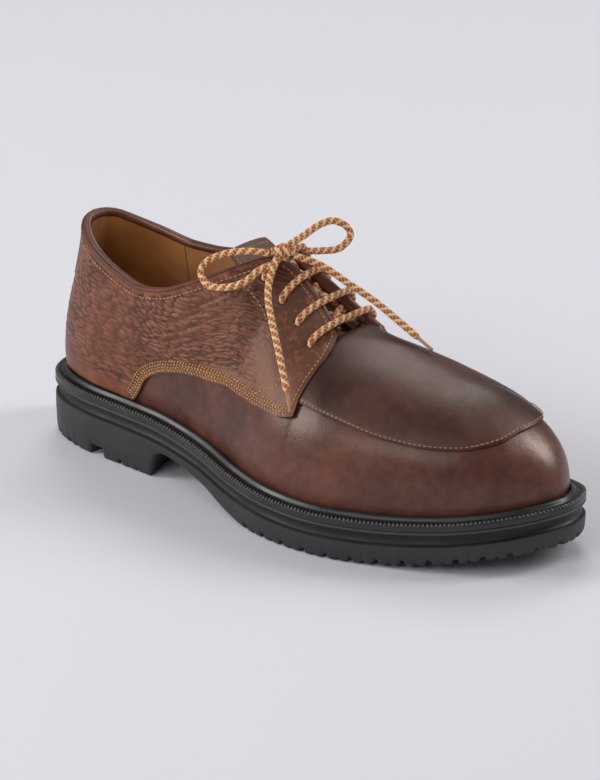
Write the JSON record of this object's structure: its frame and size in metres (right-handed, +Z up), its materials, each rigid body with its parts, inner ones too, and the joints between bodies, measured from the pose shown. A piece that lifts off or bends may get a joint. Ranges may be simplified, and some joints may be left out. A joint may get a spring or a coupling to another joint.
{
  "type": "derby shoe",
  "caption": "Right derby shoe with an apron-front leather upper, open collar, tongue, tied round lace and a lugged rubber sole with welt and heel.",
  "frame": {"origin": "on the floor under the middle of the sole's length and width", "axes": "+X toward the toe, +Y toward the inner side of the foot, +Z up"},
  "size_m": [0.3, 0.1089, 0.1286],
  "materials": {
    "outsole_rubber": "matte moulded rubber with a sawtooth lower edge",
    "midsole_rubber": "matte, recessed band under a lighter lip",
    "welt_rubber": "satin black strip with a glossy bead and wheeled ribs",
    "insole_leather": "smooth tan lining leather",
    "vamp_leather": "smooth waxed dark brown leather with a soft gloss",
    "quarter_leather": "grained reddish brown leather with fine creases",
    "tongue_leather": "grained dark brown leather",
    "lace_braid": "round braid of cream and rust strands"
  },
  "bodies": {
    "root": {"outsole": "outsole_rubber", "midsole": "midsole_rubber", "welt": "welt_rubber", "insole": "insole_leather", "upper": "vamp_leather", "apron": "vamp_leather", "quarter_lateral": "quarter_leather", "quarter_medial": "quarter_leather", "back_tab": "quarter_leather", "tongue": "tongue_leather", "lace_bar_1": "lace_braid", "lace_bar_2": "lace_braid", "lace_bar_3": "lace_braid", "lace_bar_4": "lace_braid", "lace_cross_1": "lace_braid", "lace_cross_2": "lace_braid", "lace_cross_3": "lace_braid", "lace_knot": "lace_braid", "lace_loop_lateral": "lace_braid", "lace_loop_medial": "lace_braid", "lace_end_lateral": "lace_braid", "lace_end_medial": "lace_braid"}
  },
  "joints": []
}
